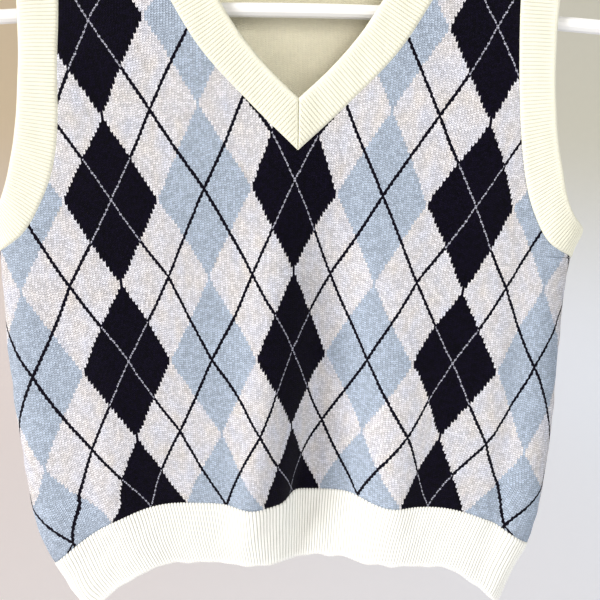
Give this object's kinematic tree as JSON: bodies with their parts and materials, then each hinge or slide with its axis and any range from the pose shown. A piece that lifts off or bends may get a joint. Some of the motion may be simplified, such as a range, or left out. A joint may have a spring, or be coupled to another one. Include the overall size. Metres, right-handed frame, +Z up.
{
  "type": "knitted sweater vest on a hanger",
  "caption": "Sleeveless V-neck argyle knit vest with ribbed neck, armholes and hem, hanging hollow on a plain tubular hanger.",
  "frame": {"origin": "underside of the hanger hook's crown, where the hook rests on a rail", "axes": "+Z up, +X to the right as seen from the front, -Y out of the vest's front"},
  "size_m": [0.4762, 0.0715, 0.6473],
  "materials": {
    "argyle_knit": "stockinette knit, argyle in navy, light blue and pale grey marl",
    "cream_knit": "plain stockinette knit, cream",
    "cream_rib": "1x1 rib knit, cream",
    "white_plastic": "moulded, white, satin gloss"
  },
  "bodies": {
    "root": {"front_panel": "argyle_knit", "back_panel": "cream_knit", "neckband": "cream_rib", "armhole_band_left": "cream_rib", "armhole_band_right": "cream_rib", "hem_rib_front": "cream_rib", "hem_rib_back": "cream_rib", "hanger": "white_plastic"}
  },
  "joints": []
}
